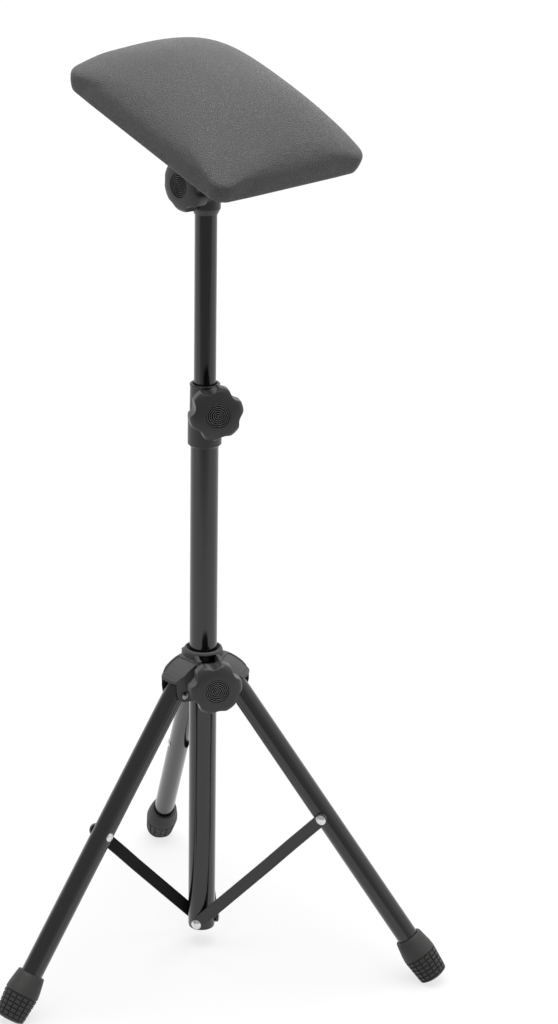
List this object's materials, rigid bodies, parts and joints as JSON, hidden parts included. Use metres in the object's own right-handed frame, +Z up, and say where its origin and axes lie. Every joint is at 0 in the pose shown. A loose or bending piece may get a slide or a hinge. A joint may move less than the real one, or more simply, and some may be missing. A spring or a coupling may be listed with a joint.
{
  "type": "tattoo arm rest stand",
  "caption": "Padded arm rest that tilts and swivels on a telescopic mast, clamped by lobed knobs over a folding braced tripod with rubber feet.",
  "frame": {"origin": "on the floor, under the column's axis", "axes": "+Z up the column; the tilt axis lies along X; the pad slopes down towards -Y; one leg points to -X"},
  "size_m": [0.3644, 0.4166, 0.8614],
  "materials": {
    "tube_paint": "gloss black powder coat",
    "brace_paint": "satin black",
    "black_plastic": "satin moulded",
    "insert_plastic": "matte moulded",
    "rivet_chrome": "polished",
    "zinc_steel": "zinc plated",
    "foot_rubber": "matte",
    "cover_leather": "fine-grained synthetic leather",
    "board_wood": "raw plywood",
    "backing_cloth": "non-woven"
  },
  "bodies": {
    "column": {"column_tube": "tube_paint", "column_plug": "black_plastic", "column_rivet_1": "rivet_chrome", "column_rivet_2": "rivet_chrome", "column_rivet_3": "rivet_chrome", "mast_collar": "black_plastic", "collar_nut": "zinc_steel"},
    "hub": {"hub_body": "black_plastic", "hub_nut": "zinc_steel", "hub_pin_1": "rivet_chrome", "hub_pin_2": "rivet_chrome", "hub_pin_3": "rivet_chrome"},
    "leg_1": {"leg_tube_1": "tube_paint", "leg_cap_1": "black_plastic", "leg_rivet_1": "rivet_chrome", "leg_foot_1": "foot_rubber"},
    "leg_2": {"leg_tube_2": "tube_paint", "leg_cap_2": "black_plastic", "leg_rivet_2": "rivet_chrome", "leg_foot_2": "foot_rubber"},
    "leg_3": {"leg_tube_3": "tube_paint", "leg_cap_3": "black_plastic", "leg_rivet_3": "rivet_chrome", "leg_foot_3": "foot_rubber"},
    "brace_1": {"brace_1": "brace_paint", "brace_rivet_1": "rivet_chrome"},
    "brace_2": {"brace_2": "brace_paint", "brace_rivet_2": "rivet_chrome"},
    "brace_3": {"brace_3": "brace_paint", "brace_rivet_3": "rivet_chrome"},
    "mast_carriage": {"mast_glide": "black_plastic"},
    "mast": {"mast_tube": "tube_paint", "tilt_socket": "black_plastic", "tilt_bolt": "zinc_steel"},
    "rest": {"pad_bracket": "black_plastic", "pad_screws": "zinc_steel", "pad_board": "board_wood", "pad_backing": "backing_cloth", "pad_cushion": "cover_leather"},
    "tilt_knob": {"tilt_knob": "black_plastic", "tilt_knob_cap": "insert_plastic"},
    "mast_knob": {"mast_knob": "black_plastic", "mast_knob_stud": "zinc_steel", "mast_knob_cap": "insert_plastic"},
    "hub_knob": {"hub_knob": "black_plastic", "hub_knob_stud": "zinc_steel", "hub_knob_cap": "insert_plastic"}
  },
  "joints": [
    {"name": "hub_slide", "type": "slide", "parent": "column", "child": "hub", "axis": [0, 0, 1], "range_m": [0, 0.07278]},
    {"name": "leg_fold_1", "type": "hinge", "parent": "hub", "child": "leg_1", "pos_m": [-0.0335, 0, 0.2691], "axis": [0, -1, 0], "range_deg": [0, 36.6]},
    {"name": "leg_fold_2", "type": "hinge", "parent": "hub", "child": "leg_2", "pos_m": [0.01675, -0.02901, 0.2691], "axis": [0.866, 0.5, 0], "range_deg": [0, 36.6]},
    {"name": "leg_fold_3", "type": "hinge", "parent": "hub", "child": "leg_3", "pos_m": [0.01675, 0.02901, 0.2691], "axis": [-0.866, 0.5, 0], "range_deg": [0, 36.6]},
    {"name": "brace_fold_1", "type": "hinge", "parent": "column", "child": "brace_1", "pos_m": [0, 0, 0.025], "axis": [0, 1, 0], "range_deg": [0, 32.16]},
    {"name": "brace_fold_2", "type": "hinge", "parent": "column", "child": "brace_2", "pos_m": [0, 0, 0.025], "axis": [-0.866, -0.5, 0], "range_deg": [0, 32.16]},
    {"name": "brace_fold_3", "type": "hinge", "parent": "column", "child": "brace_3", "pos_m": [0, 0, 0.025], "axis": [0.866, -0.5, 0], "range_deg": [0, 32.16]},
    {"name": "mast_slide", "type": "slide", "parent": "column", "child": "mast_carriage", "axis": [0, 0, 1], "range_m": [-0.1548, 0.3]},
    {"name": "mast_swivel", "type": "hinge", "parent": "mast_carriage", "child": "mast", "pos_m": [0, 0, 0.2221], "axis": [0, 0, 1], "continuous": true},
    {"name": "rest_tilt", "type": "hinge", "parent": "mast", "child": "rest", "pos_m": [0, 0, 0.743], "axis": [1, 0, 0], "range_deg": [-89.4, 50.6]},
    {"name": "tilt_knob_turn", "type": "hinge", "parent": "mast", "child": "tilt_knob", "pos_m": [-0.02, 0, 0.743], "axis": [-1, 0, 0], "range_deg": [0, 540]},
    {"name": "mast_knob_turn", "type": "hinge", "parent": "column", "child": "mast_knob", "pos_m": [-0.01878, -0.03532, 0.5431], "axis": [-0.4695, -0.8829, 0], "range_deg": [0, 540]},
    {"name": "hub_knob_turn", "type": "hinge", "parent": "hub", "child": "hub_knob", "pos_m": [-0.02113, -0.03973, 0.2835], "axis": [-0.4695, -0.8829, 0], "range_deg": [0, 540]}
  ],
  "couplings": [
    {"joint": "leg_fold_1", "follows": "hub_slide", "rad_per_m": 8.7768},
    {"joint": "leg_fold_2", "follows": "hub_slide", "rad_per_m": 8.7768},
    {"joint": "leg_fold_3", "follows": "hub_slide", "rad_per_m": 8.7768},
    {"joint": "brace_fold_1", "follows": "hub_slide", "rad_per_m": 7.711},
    {"joint": "brace_fold_2", "follows": "hub_slide", "rad_per_m": 7.711},
    {"joint": "brace_fold_3", "follows": "hub_slide", "rad_per_m": 7.711}
  ]
}
